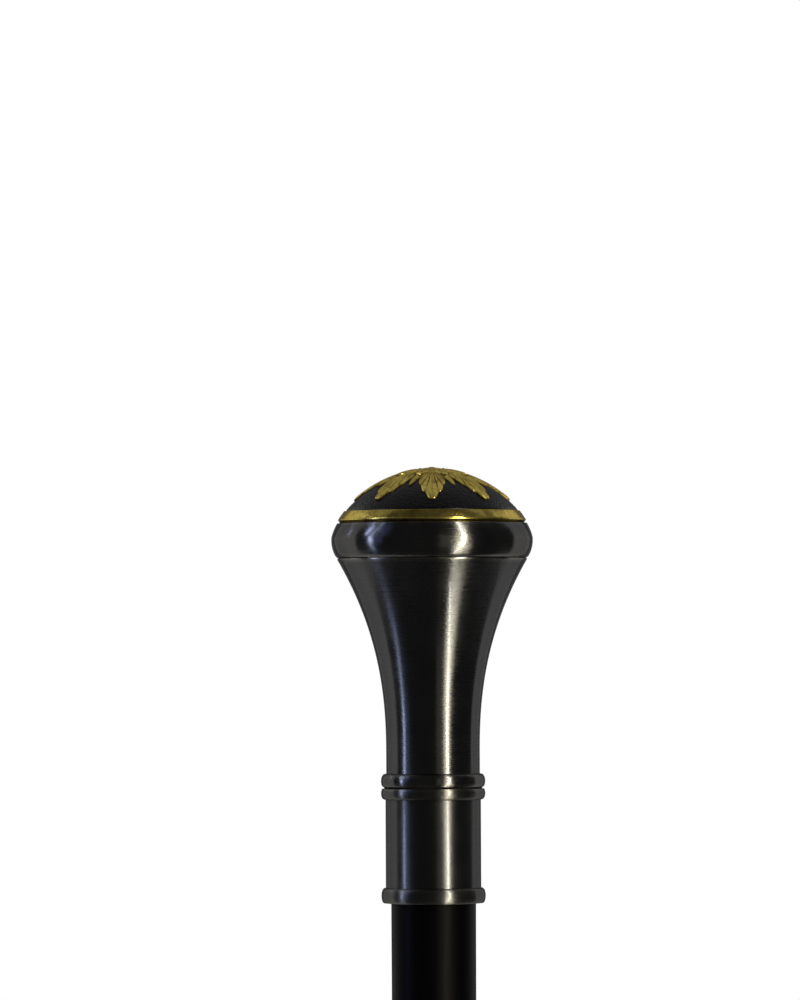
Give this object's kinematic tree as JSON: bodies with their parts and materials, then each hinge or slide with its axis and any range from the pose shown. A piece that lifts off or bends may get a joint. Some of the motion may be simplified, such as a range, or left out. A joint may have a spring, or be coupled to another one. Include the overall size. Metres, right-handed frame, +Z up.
{
  "type": "walking cane",
  "caption": "Straight walking cane with a flared knob grip and domed medallion, a collar, a round shaft, a metal ferrule and a rubber tip. The grip unscrews from a stud.",
  "frame": {"origin": "centre of the rubber tip's flat sole, on the floor, under the cane's axis", "axes": "+Z up along the cane's axis towards the knob; -Y is the side that the picture shows"},
  "size_m": [0.0476, 0.0476, 0.9203],
  "materials": {
    "lacquered_wood": "gloss",
    "gunmetal": "satin",
    "gilt": "gloss",
    "black_ground": "satin",
    "steel": "satin",
    "bare_brass": "satin",
    "fibre": "matte",
    "tip_rubber": "matte"
  },
  "bodies": {
    "stick": {"rubber_tip": "tip_rubber", "sole_disc": "steel", "ferrule": "gunmetal", "ferrule_brad": "gunmetal", "shaft": "lacquered_wood", "collar": "gunmetal", "stud": "steel", "stud_washer": "steel", "stud_nut": "steel"},
    "seat": {"seat_washer": "fibre"},
    "handle": {"grip": "gunmetal", "thread_insert": "bare_brass", "crown": "gunmetal", "medallion_rim": "gilt", "medallion_plate": "black_ground", "medallion_relief": "gilt", "medallion_post": "bare_brass", "medallion_washer": "steel", "medallion_nut": "bare_brass"}
  },
  "joints": [
    {"name": "handle_turn", "type": "hinge", "parent": "stick", "child": "seat", "pos_m": [0, 0, 0.8448], "axis": [0, 0, 1], "range_deg": [0, 4320]},
    {"name": "handle_lift", "type": "slide", "parent": "seat", "child": "handle", "axis": [0, 0, 1], "range_m": [0, 0.015]}
  ],
  "couplings": [
    {"joint": "handle_lift", "follows": "handle_turn", "m_per_rad": 0.00019894}
  ]
}
